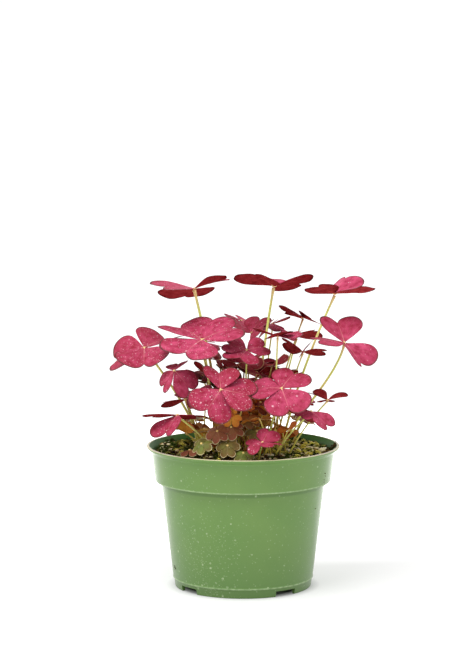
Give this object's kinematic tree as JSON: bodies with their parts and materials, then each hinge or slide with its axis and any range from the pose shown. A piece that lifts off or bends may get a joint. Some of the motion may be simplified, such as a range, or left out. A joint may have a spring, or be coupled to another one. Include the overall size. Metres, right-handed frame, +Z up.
{
  "type": "potted purple shamrock",
  "caption": "Purple shamrock with winged three-part leaves on thin pale stalks, growing in a round green plastic nursery pot.",
  "frame": {"origin": "centre of the pot's foot ring, on the surface that the pot stands on", "axes": "+Z up along the pot's axis; -Y towards the viewer's side of the plant; +X to the viewer's right"},
  "size_m": [0.1576, 0.1196, 0.186],
  "materials": {
    "pot_plastic": "satin sage-green moulded plastic with pale scuffs",
    "soil": "dark crumbly potting soil with moss and perlite",
    "leaf_purple": "velvety purple-pink leaf with pale specks and dark red underside",
    "petiole": "pale yellow-green stalk",
    "young_leaf": "olive and bronze young leaf with pale edges"
  },
  "bodies": {
    "root": {"pot": "pot_plastic", "soil": "soil", "leaflets_01": "leaf_purple", "leaflets_02": "leaf_purple", "leaflets_03": "leaf_purple", "leaflets_04": "leaf_purple", "leaflets_05": "leaf_purple", "leaflets_06": "leaf_purple", "leaflets_07": "leaf_purple", "leaflets_08": "leaf_purple", "leaflets_09": "leaf_purple", "leaflets_10": "leaf_purple", "leaflets_11": "leaf_purple", "leaflets_12": "leaf_purple", "leaflets_13": "leaf_purple", "leaflets_14": "leaf_purple", "leaflets_15": "leaf_purple", "leaflets_16": "leaf_purple", "leaflets_17": "leaf_purple", "leaflets_18": "leaf_purple", "leaflets_19": "leaf_purple", "leaflets_20": "leaf_purple", "leaflets_21": "leaf_purple", "leaflets_22": "leaf_purple", "leaflets_23": "leaf_purple", "leaflets_24": "leaf_purple", "leaflets_25": "leaf_purple", "leaflets_26": "leaf_purple", "petiole_01": "petiole", "petiole_02": "petiole", "petiole_03": "petiole", "petiole_04": "petiole", "petiole_05": "petiole", "petiole_06": "petiole", "petiole_07": "petiole", "petiole_08": "petiole", "petiole_09": "petiole", "petiole_10": "petiole", "petiole_11": "petiole", "petiole_12": "petiole", "petiole_13": "petiole", "petiole_14": "petiole", "petiole_15": "petiole", "petiole_16": "petiole", "petiole_17": "petiole", "petiole_18": "petiole", "petiole_19": "petiole", "petiole_20": "petiole", "petiole_21": "petiole", "petiole_22": "petiole", "petiole_23": "petiole", "petiole_24": "petiole", "petiole_25": "petiole", "petiole_26": "petiole", "young_leaves_1": "young_leaf", "young_leaves_2": "young_leaf", "young_leaves_3": "young_leaf", "young_leaves_4": "young_leaf", "young_leaves_5": "young_leaf"}
  },
  "joints": []
}
